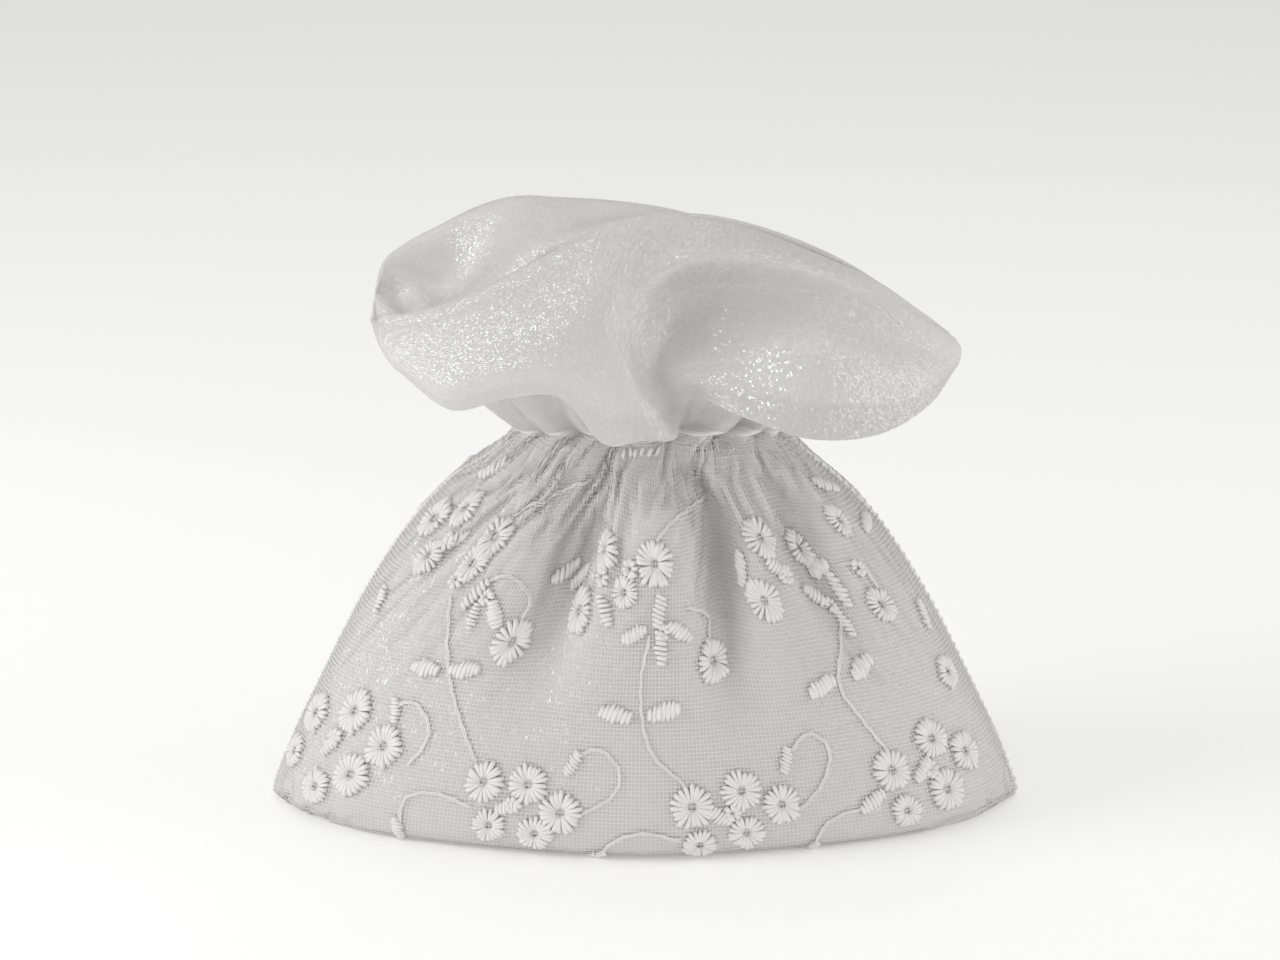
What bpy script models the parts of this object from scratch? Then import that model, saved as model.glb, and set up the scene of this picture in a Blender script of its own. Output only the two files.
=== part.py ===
# Drawstring gift pouch: a filled fabric bag, gathered at the neck, with a soft collar above.
# Metres, +Z up, the front faces -Y. The origin is on the resting face, in the middle of the bag.
import math

import bmesh
import bpy
import numpy as np

for old in list(bpy.data.objects):
    bpy.data.objects.remove(old)

MM = 0.001

# ---- cloth layers: how far each one lies inside the bag's outer face, in mm
NET_OUT, NET_IN = 0.0, -0.6
LINING_OUT, LINING_IN = -0.9, -1.7
SEAM_OUT, SEAM_IN = 0.0, -2.0
SEAM_HALF = 0.6           # half thickness of a seam, across the bag
SPLIT = 0.9               # the front and back cloth stop this far from the middle plane

# ---- the bag: height above the table, half width and half depth at each station, in mm
BAG_Z = [0.0, 0.0, 0.0, 0.0, 0.7, 2.6, 5.4, 11.0, 18.0, 25.0, 32.0, 39.0, 45.0, 50.0, 53.5, 56.2, 57.5]
BAG_A = [50.0, 52.0, 53.6, 55.0, 58.0, 59.6, 60.0, 57.2, 54.0, 50.6, 47.0, 43.1, 39.4, 35.6, 32.0, 27.2, 21.9]
BAG_B = [0.0, 8.5, 17.0, 24.0, 26.6, 28.0, 28.6, 28.8, 28.2, 26.8, 24.8, 22.2, 19.4, 16.8, 14.6, 12.4, 10.9]
SECTION_POWER = 1.25      # over 1 makes each horizontal section more pointed at the side seams

# ---- deep folds that run down from the neck: place across the bag, depth, width, lean (mm)
FRONT_FOLDS = [(-7.5, 4.2, 4.0, -6.0), (9.5, 4.6, 3.6, 4.0), (20.0, 3.0, 4.0, 9.0)]
BACK_FOLDS = [(-17.0, 3.4, 4.0, -8.0), (-3.0, 4.2, 4.0, -2.0), (12.0, 3.8, 4.0, 6.0)]
FOLD_LOW, FOLD_PEAK, FOLD_TOP = 22.0, 50.0, 58.5

# ---- the channel for the drawcord, a flat tube round the neck
NECK_A, NECK_B = 21.5, 10.8
CHANNEL_Z = 60.8
CHANNEL_HALF = (2.2, 2.8)
CHANNEL_HOLE = (1.4, 2.0)
CORD_R = 0.9

# ---- the collar: stations from the neck, over the crest, to the rim
COLLAR_FRONT_Y = [10.6, 8.6, 7.2, 9.5, 17.0, 23.0, 25.0]
COLLAR_FRONT_Z = [64.0, 77.0, 90.0, 97.0, 93.0, 82.0, 70.0]
COLLAR_BACK_Y = [10.6, 13.0, 15.6, 19.0, 24.0, 28.0, 29.5]
COLLAR_BACK_Z = [64.0, 77.0, 89.0, 96.6, 95.0, 86.5, 76.0]
COLLAR_X = [21.4, 25.0, 29.0, 33.0, 37.5, 41.5, 45.0]
COLLAR_SIDE_X = [21.4, 25.5, 29.5, 33.5, 37.5, 41.5, 45.5]
LEFT_RISE, RIGHT_RISE = 17.5, 11.5
RIGHT_REACH = 1.09
TILT = 0.10               # the crest comes down towards the right by this share of the way across
COLLAR_HALF = 0.5
HEM_HALF = 0.8
HEM_START, COLLAR_END = 0.955, 0.944


def along(stations, t):
    """A smooth line through evenly spaced stations, t from 0 to 1."""
    p = np.asarray(stations, float)
    x = min(max(t, 0.0), 1.0) * (len(p) - 1)
    k = min(int(x), len(p) - 2)
    f = x - k
    before = p[k - 1] if k > 0 else 2 * p[0] - p[1]
    after = p[k + 2] if k + 2 < len(p) else 2 * p[-1] - p[-2]
    a, b = p[k], p[k + 1]
    return 0.5 * (2 * a + (b - before) * f + (2 * before - 5 * a + 4 * b - after) * f**2
                  + (3 * a - before - 3 * b + after) * f**3)


def bump(x, width):
    return math.exp(-(x / width) ** 2)


def rise(x, low, high):
    t = min(max((x - low) / (high - low), 0.0), 1.0)
    return t * t * (3 - 2 * t)


def bag_point(angle, v, side):
    """A point on the bag's outer face. angle runs from -90 at the left seam to 90 at the right,
    v from the bottom seam to the neck, and side is -1 for the front and 1 for the back."""
    a, b, z = along(BAG_A, v), along(BAG_B, v), along(BAG_Z, v)
    s, c = math.sin(angle), max(math.cos(angle), 0.0)
    x = a * math.copysign(abs(s) ** SECTION_POWER, s)
    depth = b * c
    reach = rise(z, FOLD_LOW, FOLD_PEAK) * (1 - 0.75 * rise(z, FOLD_PEAK, FOLD_TOP))
    for place, deep, width, lean in FRONT_FOLDS if side < 0 else BACK_FOLDS:
        at = place + lean * (FOLD_TOP - z) / FOLD_TOP
        depth -= deep * reach * bump(x - at, width) * c
    return np.array([x, side * (SPLIT + depth), max(z, 0.0)])


def collar_point(angle, t, side):
    """A point on the middle of the collar, from the neck at t 0 to the rim at t 1."""
    s, c = math.sin(angle), max(math.cos(angle), 0.0)
    ys, zs = (COLLAR_FRONT_Y, COLLAR_FRONT_Z) if side < 0 else (COLLAR_BACK_Y, COLLAR_BACK_Z)
    full = c**0.7
    reach = 1 + (RIGHT_REACH - 1) * max(s, 0.0) ** 2 * t
    x = (along(COLLAR_X, t) * full + along(COLLAR_SIDE_X, t) * (1 - full)) * s * reach
    tip = LEFT_RISE if s < 0 else RIGHT_RISE
    low = COLLAR_FRONT_Z[0] + tip * t**0.9
    z = low + (along(zs, t) - TILT * x * math.sin(math.pi * min(t, 0.8)) - low) * full
    return np.array([x, side * (SPLIT + along(ys, t) * c), z])


def grid_of(function, angles, steps, side):
    return np.array([[function(a, v, side) for a in angles] for v in steps])


def normals_of(p, side, flat_start):
    """Unit normals that point out of the bag, kept in the middle plane along the edges beside it."""
    across = np.gradient(p, axis=1)
    up = np.gradient(p, axis=0)
    n = np.cross(across, up) * (-side)
    n[:, 0, 1] = 0.0
    n[:, -1, 1] = 0.0
    if flat_start:
        n[0] = (0.0, 0.0, -1.0)
    n /= np.linalg.norm(n, axis=2)[..., None]
    return n


def slot_material(name, color, roughness):
    mat = bpy.data.materials.new(name)
    mat.use_nodes = True
    bsdf = mat.node_tree.nodes["Principled BSDF"]
    bsdf.inputs["Base Color"].default_value = (*color, 1.0)
    bsdf.inputs["Roughness"].default_value = roughness
    return mat


def solid(name, verts, faces, material):
    """One closed body, in metres, with its faces outward."""
    mesh = bpy.data.meshes.new(name)
    mesh.from_pydata([tuple(float(c) * MM for c in v) for v in verts], [], faces)
    bm = bmesh.new()
    bm.from_mesh(mesh)
    bmesh.ops.recalc_face_normals(bm, faces=bm.faces)
    bm.to_mesh(mesh)
    bm.free()
    mesh.materials.append(material)
    obj = bpy.data.objects.new(name, mesh)
    bpy.context.scene.collection.objects.link(obj)
    return obj


def shell(name, p, n, outer, inner, material):
    """A sheet of cloth with real thickness between two offsets of a grid."""
    rows, cols = p.shape[:2]
    skin = [p + n * outer, p + n * inner]
    verts = np.concatenate([s.reshape(-1, 3) for s in skin])
    count = rows * cols

    def at(i, j, k):
        return k * count + i * cols + j

    faces = []
    for i in range(rows - 1):
        for j in range(cols - 1):
            faces.append((at(i, j, 0), at(i, j + 1, 0), at(i + 1, j + 1, 0), at(i + 1, j, 0)))
            faces.append((at(i, j, 1), at(i + 1, j, 1), at(i + 1, j + 1, 1), at(i, j + 1, 1)))
    for j in range(cols - 1):
        faces.append((at(0, j, 0), at(0, j, 1), at(0, j + 1, 1), at(0, j + 1, 0)))
        last = rows - 1
        faces.append((at(last, j, 0), at(last, j + 1, 0), at(last, j + 1, 1), at(last, j, 1)))
    for i in range(rows - 1):
        faces.append((at(i, 0, 0), at(i + 1, 0, 0), at(i + 1, 0, 1), at(i, 0, 1)))
        last = cols - 1
        faces.append((at(i, last, 0), at(i, last, 1), at(i + 1, last, 1), at(i + 1, last, 0)))
    return solid(name, verts, faces, material)


def swept(name, loops, closed, material):
    """Joins loops of equal length one after another. An open sweep gets flat end faces."""
    loops = np.asarray(loops, float)
    rows, cols = loops.shape[:2]
    faces = []
    for i in range(rows if closed else rows - 1):
        k = (i + 1) % rows
        for j in range(cols):
            m = (j + 1) % cols
            faces.append((i * cols + j, i * cols + m, k * cols + m, k * cols + j))
    if not closed:
        faces.append(tuple(range(cols)))
        faces.append(tuple((rows - 1) * cols + j for j in range(cols)))
    return solid(name, loops.reshape(-1, 3), faces, material)


def channel(name, side, material, steps=24):
    """The half of the drawcord channel on one side: a flat tube, open at both ends."""
    rings = []
    for k in range(steps + 1):
        angle = math.radians(-90 + 180 * k / steps)
        s, c = math.sin(angle), max(math.cos(angle), 0.0)
        out = np.array([NECK_B * s, side * NECK_A * c, 0.0])
        out /= np.linalg.norm(out)
        if k in (0, steps):
            out = np.array([math.copysign(1.0, s), 0.0, 0.0])
        mid = np.array([NECK_A * s, side * (SPLIT + NECK_B * c), CHANNEL_Z])
        up = np.array([0.0, 0.0, 1.0])
        corners = []
        for half in (CHANNEL_HALF, CHANNEL_HOLE):
            for i, j in ((-1, -1), (1, -1), (1, 1), (-1, 1)):
                corners.append(mid + out * i * half[0] + up * j * half[1])
        rings.append(corners)
    rings = np.array(rings)
    faces = []
    for i in range(steps):
        for base in (0, 4):
            for j in range(4):
                m = (j + 1) % 4
                faces.append((8 * i + base + j, 8 * i + base + m,
                              8 * (i + 1) + base + m, 8 * (i + 1) + base + j))
    for i in (0, steps):
        for j in range(4):
            m = (j + 1) % 4
            faces.append((8 * i + j, 8 * i + m, 8 * i + 4 + m, 8 * i + 4 + j))
    return solid(name, rings.reshape(-1, 3), faces, material)


def cord_loop(name, material, steps=56, around=8):
    """The drawcord: one closed loop that runs inside both halves of the channel."""
    centres = []
    for k in range(steps):
        angle = 2 * math.pi * k / steps
        y = NECK_B * math.cos(angle)
        y += math.copysign(SPLIT, y) * min(1.0, abs(y) / 1.0)
        centres.append(np.array([NECK_A * math.sin(angle), -y, CHANNEL_Z]))
    loops = []
    for k in range(steps):
        ahead = centres[(k + 1) % steps] - centres[k - 1]
        ahead /= np.linalg.norm(ahead)
        up = np.array([0.0, 0.0, 1.0])
        out = np.cross(ahead, up)
        turns = [2 * math.pi * j / around for j in range(around)]
        loops.append([centres[k] + CORD_R * (math.cos(q) * out + math.sin(q) * up) for q in turns])
    return swept(name, loops, True, material)


def side_seam(name, sign, material):
    """The seam up one side, from beside the bottom seam to the neck."""
    steps = [0.03] + [k / 44 for k in range(2, 45)]
    line = np.array([bag_point(sign * math.pi / 2, v, -1) for v in steps])
    line[:, 1] = 0.0
    ahead = np.gradient(line, axis=0)
    out = np.stack([ahead[:, 2] * sign, np.zeros(len(line)), -ahead[:, 0] * sign], axis=1)
    out /= np.linalg.norm(out, axis=1)[:, None]
    width = np.array([0.0, SEAM_HALF, 0.0])
    loops = []
    for p, n in zip(line, out):
        outer, inner = p + n * SEAM_OUT, p + n * SEAM_IN
        loops.append([outer - width, outer + width, inner + width, inner - width])
    return swept(name, loops, False, material)


def bottom_seam(name, material):
    """The seam along the middle of the resting face."""
    half = BAG_A[0] - 0.4
    loops = []
    for k in range(21):
        x = -half + 2 * half * k / 20
        loops.append([(x, -SEAM_HALF, 0.0), (x, SEAM_HALF, 0.0),
                      (x, SEAM_HALF, -SEAM_IN), (x, -SEAM_HALF, -SEAM_IN)])
    return swept(name, loops, False, material)


WHITE_NET = slot_material("embroidered_net", (0.78, 0.77, 0.75), 0.8)
WHITE_LINING = slot_material("satin_lining", (0.80, 0.79, 0.78), 0.45)
WHITE_COLLAR = slot_material("shimmer_organza", (0.80, 0.80, 0.79), 0.4)
WHITE_HEM = slot_material("rolled_hem", (0.78, 0.78, 0.77), 0.5)
WHITE_SEAM = slot_material("seam_tape", (0.76, 0.75, 0.73), 0.8)
WHITE_CHANNEL = slot_material("channel_tape", (0.76, 0.75, 0.73), 0.7)
WHITE_CORD = slot_material("satin_cord", (0.82, 0.81, 0.80), 0.4)

ANGLES = [math.radians(-90 + 180 * k / 28) for k in range(29)]
BAG_STEPS = [k / 24 for k in range(25)]
COLLAR_STEPS = [COLLAR_END * k / 14 for k in range(15)]
HEM_STEPS = [HEM_START + (1 - HEM_START) * k / 2 for k in range(3)]

for word, side in (("front", -1), ("back", 1)):
    bag = grid_of(bag_point, ANGLES, BAG_STEPS, side)
    out = normals_of(bag, side, True)
    shell("outer_net_" + word, bag, out, NET_OUT, NET_IN, WHITE_NET)
    shell("lining_" + word, bag, out, LINING_OUT, LINING_IN, WHITE_LINING)
    channel("cord_channel_" + word, side, WHITE_CHANNEL)
    cloth = grid_of(collar_point, ANGLES, COLLAR_STEPS, side)
    shell("collar_" + word, cloth, normals_of(cloth, side, False), COLLAR_HALF, -COLLAR_HALF, WHITE_COLLAR)
    rim = grid_of(collar_point, ANGLES, HEM_STEPS, side)
    shell("rim_hem_" + word, rim, normals_of(rim, side, False), HEM_HALF, -HEM_HALF, WHITE_HEM)

side_seam("side_seam_left", -1, WHITE_SEAM)
side_seam("side_seam_right", 1, WHITE_SEAM)
bottom_seam("bottom_seam", WHITE_SEAM)
cord_loop("drawcord", WHITE_CORD)

for obj in bpy.data.objects:
    print(obj.name, len(obj.data.polygons), [round(d * 1000, 1) for d in obj.dimensions])
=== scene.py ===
# %% [markdown]
# # A drawstring gift pouch
# The pouch is a filled bag of embroidered net over satin, gathered tight at the neck, with a soft
# organza collar that puffs up and folds over. All of it is cloth, so most pieces are made the way a
# tailor and a stuffer would: a shaped start, then a short cloth simulation that lets the extra width
# gather into real folds.

# %% Load the frame
import math

import bpy
import numpy as np
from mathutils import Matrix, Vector


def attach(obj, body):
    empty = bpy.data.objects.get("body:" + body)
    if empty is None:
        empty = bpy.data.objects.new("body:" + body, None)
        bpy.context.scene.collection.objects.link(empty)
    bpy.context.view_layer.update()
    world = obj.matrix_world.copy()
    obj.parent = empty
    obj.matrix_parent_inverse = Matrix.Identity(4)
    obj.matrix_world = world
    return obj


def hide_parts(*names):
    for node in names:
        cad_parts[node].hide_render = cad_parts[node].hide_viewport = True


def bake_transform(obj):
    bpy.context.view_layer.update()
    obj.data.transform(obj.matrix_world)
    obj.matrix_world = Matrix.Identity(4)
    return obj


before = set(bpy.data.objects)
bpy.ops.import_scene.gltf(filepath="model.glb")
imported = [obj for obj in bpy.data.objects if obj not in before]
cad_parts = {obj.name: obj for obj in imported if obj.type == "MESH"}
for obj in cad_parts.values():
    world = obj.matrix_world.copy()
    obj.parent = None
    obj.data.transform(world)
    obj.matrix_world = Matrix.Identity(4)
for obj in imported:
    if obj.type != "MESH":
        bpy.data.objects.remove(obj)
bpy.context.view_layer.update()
bpy.ops.object.select_all(action="DESELECT")
MM = 0.001

# %% [markdown]
# ## Camera
# The pouch is seen straight from the front and a little from above, with a long lens, as a small
# thing on a table is usually shown.

# %% Camera
VIEW_RISE = math.radians(17)
VIEW_DISTANCE = 0.572
LOOK_AT = Vector((-0.0008, 0.0, 0.0544))

bpy.ops.object.camera_add()
camera = bpy.context.object
camera.data.lens = 100
camera.data.sensor_width = 36
camera.location = LOOK_AT + VIEW_DISTANCE * Vector((0, -math.cos(VIEW_RISE), math.sin(VIEW_RISE)))
camera.rotation_euler = (math.pi / 2 - VIEW_RISE, 0, 0)
bpy.context.scene.camera = camera
print("camera at", [round(c, 3) for c in camera.location])

# %% [markdown]
# ## Studio
# White cloth only shows its form through soft shadows. One soft lamp stands to the upper left and a
# weaker one to the right, with faint ones in front and above. A pale floor and world fill the rest, and
# the floor glows faintly, like a light table.


# %% Floor, lamps and world
def soft_lamp(name, place, size, power, aim=(0, 0, 0.05)):
    bpy.ops.object.light_add(type="AREA", location=place)
    lamp = bpy.context.object
    lamp.name = name
    lamp.data.size = size
    lamp.data.energy = power
    lamp.rotation_euler = (Vector(aim) - Vector(place)).to_track_quat("-Z", "Y").to_euler()
    return lamp


soft_lamp("key_lamp", (-0.60, -0.16, 0.34), 0.35, 1.7)
soft_lamp("fill_lamp", (0.64, -0.14, 0.24), 0.45, 1.0)
soft_lamp("front_lamp", (-0.10, -0.75, 0.10), 0.50, 0.24, aim=(0, 0, 0.06))
soft_lamp("top_lamp", (0.02, 0.16, 0.75), 0.45, 0.65)

bpy.ops.mesh.primitive_plane_add(size=6, location=(0, 0, 0))
floor = bpy.context.object
floor.name = "studio_floor"
floor_paint = bpy.data.materials.new("floor_paint")
floor_paint.use_nodes = True
paint = floor_paint.node_tree.nodes["Principled BSDF"]
paint.inputs["Base Color"].default_value = (0.95, 0.95, 0.95, 1)
paint.inputs["Roughness"].default_value = 0.9
paint.inputs["Emission Color"].default_value = (1, 1, 1, 1)
paint.inputs["Emission Strength"].default_value = 0.19
floor.data.materials.append(floor_paint)

world = bpy.data.worlds.new("studio_air")
world.use_nodes = True
world.node_tree.nodes["Background"].inputs["Color"].default_value = (1, 0.995, 0.985, 1)
world.node_tree.nodes["Background"].inputs["Strength"].default_value = 0.51
bpy.context.scene.world = world
bpy.context.scene.view_settings.view_transform = "Standard"
print("studio ready")

# %% [markdown]
# ## Tools for cloth
# A panel of cloth is a grid of points: columns run across it and rows run up it. These helpers draw a
# smooth line through given stations, ease between two values, and space points evenly.


# %% Smooth lines and even spacing
def ease(x, low, high):
    t = np.clip((np.asarray(x, float) - low) / (high - low), 0, 1)
    return t * t * (3 - 2 * t)


def through(stations, t):
    """Points at t, from 0 to 1, on a smooth line through evenly spaced stations."""
    p = np.asarray(stations, float)
    if p.ndim == 1:
        p = p[:, None]
    pad = np.concatenate([[2 * p[0] - p[1]], p, [2 * p[-1] - p[-2]]])
    x = np.clip(np.asarray(t, float), 0, 1) * (len(p) - 1)
    k = np.minimum(x.astype(int), len(p) - 2)
    f = (x - k)[:, None]
    a, b, c, d = pad[k], pad[k + 1], pad[k + 2], pad[k + 3]
    square, cube = 2 * a - 5 * b + 4 * c - d, 3 * b - a - 3 * c + d
    return 0.5 * (2 * b + (c - a) * f + square * f**2 + cube * f**3)


def lengths(line):
    """How far along a line of points each one lies."""
    return np.concatenate([[0], np.cumsum(np.linalg.norm(np.diff(line, axis=0), axis=1))])


def spaced(line, count):
    """count points at equal distances along a line."""
    run = lengths(line)
    at = np.linspace(0, run[-1], count)
    return np.stack([np.interp(at, run, line[:, k]) for k in range(line.shape[1])], axis=1)


COLUMNS = 132         # cells across each panel
CLOTH_WIDTH = 140.0   # mm of cloth gathered into each half of the neck
print("each panel is", COLUMNS, "cells wide")

# %% [markdown]
# ## The bag before it is gathered
# Each horizontal section of a filled bag is between a lens and an ellipse: pointed at the side seams
# near the table, round near the neck. Stations up the bag give its half width and half depth. Three
# deep folds on each side run down from the neck, and the cloth simulation later makes the small ones.

# %% The bag's shape
BAG_HEIGHT = [0, 0, 0, 0.3, 1.5, 4, 8, 14, 21, 28, 35, 42, 48.5, 54, 58.5, 61.6, 63]
BAG_WIDTH = [60, 60.6, 61, 61.2, 61, 60.2, 58.6, 56, 52.6, 49.2, 45.6, 41.4, 37.0, 32.4, 27.6, 23.8, 22.0]
BAG_DEPTH = [0, 8, 17, 25, 27.8, 29, 29.4, 29, 28, 26.5, 24.4, 22.2, 20.0, 18.0, 15.8, 13.2, 11.5]
BAG_TOP = 63
BAG_ROWS = 88
# each fold: place across below the neck, depth, width, lean towards the foot, height of its foot, and
# how far it is pulled aside at the neck (mm)
FRONT_FOLDS = [
    (-4.5, 8.4, 5.1, -22.0, 20, 0.5), (9.5, 7.5, 3.9, 7.5, 17, -4.6), (18.5, 5.5, 5.0, 21.0, 28, -5.0),
]
BACK_FOLDS = [
    (-17.0, 9.0, 5.0, -14.0, 22, 0), (-3.0, 11.0, 4.2, -3.0, 18, 0), (12.5, 10.0, 4.6, 10.0, 22, 0),
]
FRONT, BACK = -1, 1
LENS_UP_TO, ELLIPSE_FROM = 10, 50    # heights between which the sections turn round (mm)


def bag_row(v, side, folds):
    """One horizontal line of the bag, from the left seam to the right, and its length."""
    a, b, z = (through(s, [v])[0, 0] for s in (BAG_WIDTH, BAG_DEPTH, BAG_HEIGHT))
    turn = np.linspace(-math.pi / 2, math.pi / 2, 1201)
    s, c = np.sin(turn), np.clip(np.cos(turn), 0, 1)
    pointed = 1.32 - 0.32 * float(ease(z, LENS_UP_TO, ELLIPSE_FROM))    # 1 is an ellipse
    x = a * np.sign(s) * np.abs(s) ** pointed
    depth = b * c
    for place, deep, width, lean, foot, pull in folds:
        reach = ease(z, foot, ELLIPSE_FROM) * (1 - 0.5 * ease(z, 56, BAG_TOP))
        middle = place + lean * (BAG_TOP - z) / BAG_TOP + pull * ease(z, 53, BAG_TOP)
        depth = depth - deep * reach * np.exp(-(((x - middle) / width) ** 2)) * np.clip(c * 1.4, 0, 1)
    line = np.stack([x, side * depth, np.full(len(x), max(z, 0.0))], axis=1)
    return spaced(line, COLUMNS + 1), lengths(line)[-1]


def bag_panel(side, folds):
    fine = np.linspace(0, 1, 2001)
    profile = np.stack([through(BAG_HEIGHT, fine)[:, 0], through(BAG_DEPTH, fine)[:, 0]], axis=1)
    run = lengths(profile)
    levels = np.interp(np.linspace(0, run[-1], BAG_ROWS + 1), run, fine)
    rows = [bag_row(v, side, folds) for v in levels]
    return np.array([r[0] for r in rows]), np.array([r[1] for r in rows])


# %% [markdown]
# ## Pleats at the neck
# The drawcord squeezes 280 mm of cloth into a ring about 110 mm round. It doesn't gather evenly: broad
# pleats, one of them wide and flat in the middle of the front, with narrow deep creases between. The
# bag's top row and the collar's bottom row are both held in this ring.


# %% The pleated ring
NECK_CENTRE, NECK_HALF_WIDTH, NECK_HALF_DEPTH = 1.0, 21.8, 11.4
NECK_HEIGHT = 63.0
FRONT_LIFT = 2.5        # the gathered edge is higher in the middle of the front (mm)
# each crease: its share of the way across the panel, and how deep it goes (mm)
FRONT_CREASES = [
    (0.07, 2.8), (0.20, 3.0), (0.32, 3.6), (0.420, 5.0), (0.556, 5.0), (0.69, 5.0), (0.80, 3.6),
    (0.91, 3.0),
]
BACK_CREASES = [
    (0.06, 3.0), (0.19, 4.8), (0.30, 3.4), (0.441, 4.8), (0.56, 3.4), (0.677, 4.8), (0.79, 3.6),
    (0.90, 3.4),
]
CREASE_WIDTH = 0.029    # share of the panel


def pleated_ring(side, height, deep_share=1.0):
    """The gathered edge of one panel, with its points evenly spaced along the cloth."""
    turn = np.linspace(-math.pi / 2, math.pi / 2, 2001)
    across = turn / math.pi + 0.5
    creases = FRONT_CREASES if side == FRONT else BACK_CREASES
    inward = sum(deep * np.exp(-(((across - place) / CREASE_WIDTH) ** 2)) for place, deep in creases)
    inward = deep_share * inward * np.clip(np.minimum(across, 1 - across) / 0.03, 0, 1)
    out_x, out_y = np.sin(turn), side * np.cos(turn)
    x = NECK_CENTRE + NECK_HALF_WIDTH * out_x - out_x * inward
    y = NECK_HALF_DEPTH * out_y - out_y * inward
    lifted = height + (FRONT_LIFT * np.cos(turn) ** 2 if side == FRONT else 0 * turn)
    return spaced(np.stack([x, y, lifted], axis=1), COLUMNS + 1)


# %% [markdown]
# ## The cloth simulation
# The front and back panels are joined at the side seams and let go together. A second shape key holds
# the flat pattern, so the cloth knows how much of it there is and has to gather. A vertex group holds
# the neck firmly and the rest loosely, so the pouch keeps its overall shape while the cloth finds its
# own folds. It runs at ten times the real size, where the simulation is steadier.


# %% Number the points of two joined panels
def join_panels(front, back, shared_bottom):
    """Numbers the points of both panels, with one point where they share a seam."""
    rows, columns = front.shape[:2]
    index = np.zeros((2, rows, columns), int)
    points = []
    for k, panel in enumerate((front, back)):
        for i in range(rows):
            for j in range(columns):
                if k == 1 and (j in (0, columns - 1) or (shared_bottom and i == 0)):
                    index[k, i, j] = index[0, i, j]
                else:
                    index[k, i, j] = len(points)
                    points.append(panel[i, j])
    return index, np.array(points)


def panel_faces(index):
    a, b, c, d = index[:-1, :-1], index[:-1, 1:], index[1:, 1:], index[1:, :-1]
    return np.stack([a, b, c, d], axis=-1).reshape(-1, 4)


# %% Drape two panels
SIM_SCALE = 10.0


def drape(name, panels, flats, hold, shared_bottom, frames, bending, pressure, pins, collide):
    """Simulates two joined panels and gives them back as grids. hold is a grid of 0 to 1 per panel."""
    index, start = join_panels(panels[0], panels[1], shared_bottom)
    flat = np.zeros_like(start)
    grip = np.zeros(len(start))
    for k in (1, 0):    # the front comes last, so it sets the points on the seams
        flat[index[k]] = flats[k]
        grip[index[k]] = hold[k]
    faces = np.concatenate([panel_faces(index[0]), panel_faces(index[1])[:, ::-1]])
    mesh = bpy.data.meshes.new(name)
    mesh.from_pydata((start * MM * SIM_SCALE).tolist(), [], faces.tolist())
    cloth = bpy.data.objects.new(name, mesh)
    bpy.context.scene.collection.objects.link(cloth)
    cloth.shape_key_add(name="Basis")
    pattern = cloth.shape_key_add(name="flat_pattern")
    pattern.data.foreach_set("co", (flat * MM * SIM_SCALE).ravel().astype(np.float32))
    pattern.value = 0
    group = cloth.vertex_groups.new(name="hold")
    for level in np.unique(grip.round(2)):
        group.add(np.flatnonzero(grip.round(2) == level).tolist(), float(level), "REPLACE")
    sim = cloth.modifiers.new("Cloth", "CLOTH")
    s = sim.settings
    s.quality, s.mass, s.air_damping = 6, 0.3, 4
    s.tension_stiffness = s.compression_stiffness = 40
    s.shear_stiffness, s.bending_stiffness = 12, bending
    s.tension_damping = s.compression_damping = s.shear_damping = 8
    s.bending_damping = 0.5
    s.vertex_group_mass, s.pin_stiffness = "hold", pins
    s.rest_shape_key = pattern
    s.effector_weights.gravity = 0
    s.use_pressure, s.uniform_pressure_force = pressure > 0, pressure
    sim.collision_settings.use_collision = False
    sim.collision_settings.use_self_collision = collide
    sim.collision_settings.self_distance_min = 0.004
    scene = bpy.context.scene
    scene.frame_start, scene.frame_end = 1, frames
    sim.point_cache.frame_start, sim.point_cache.frame_end = 1, frames
    for now in range(1, frames + 1):
        scene.frame_set(now)
    settled = cloth.evaluated_get(bpy.context.evaluated_depsgraph_get()).to_mesh()
    points = np.zeros(len(start) * 3, np.float32)
    settled.vertices.foreach_get("co", points)
    points = points.reshape(-1, 3) / SIM_SCALE / MM
    bpy.data.objects.remove(cloth)
    scene.frame_set(1)
    print(name, "moved at most", round(float(np.abs(points - start).max()), 2), "mm")
    return points[index[0]], points[index[1]]


# %% The flat pattern
def smoothed(grid, reach):
    """Averages a grid of lengths across its columns."""
    kernel = np.ones(2 * reach + 1) / (2 * reach + 1)
    return np.array([np.convolve(np.pad(row, reach, mode="edge"), kernel, "valid") for row in grid])


def flat_pattern(panel, widths):
    """The panel laid flat: widths across each row, and its own length up each column."""
    up = np.linalg.norm(np.diff(panel, axis=0), axis=2)
    up = np.concatenate([np.zeros((1, panel.shape[1])), np.cumsum(up, axis=0)])
    up = smoothed(up, 12)
    across = np.linspace(-0.5, 0.5, panel.shape[1])
    x = np.asarray(widths)[:, None] * across[None]
    return np.stack([x, np.zeros_like(x), up], axis=2)


# %% [markdown]
# ## Gathering the bag
# A real bag panel is a rectangle of cloth. Its flat width is the widest section of the bag, kept up to
# the neck, so all the spare width has to fold away there. The base and the neck are held firmly, and
# the sides more loosely towards the top. A little pressure inside stands for the filling.

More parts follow.
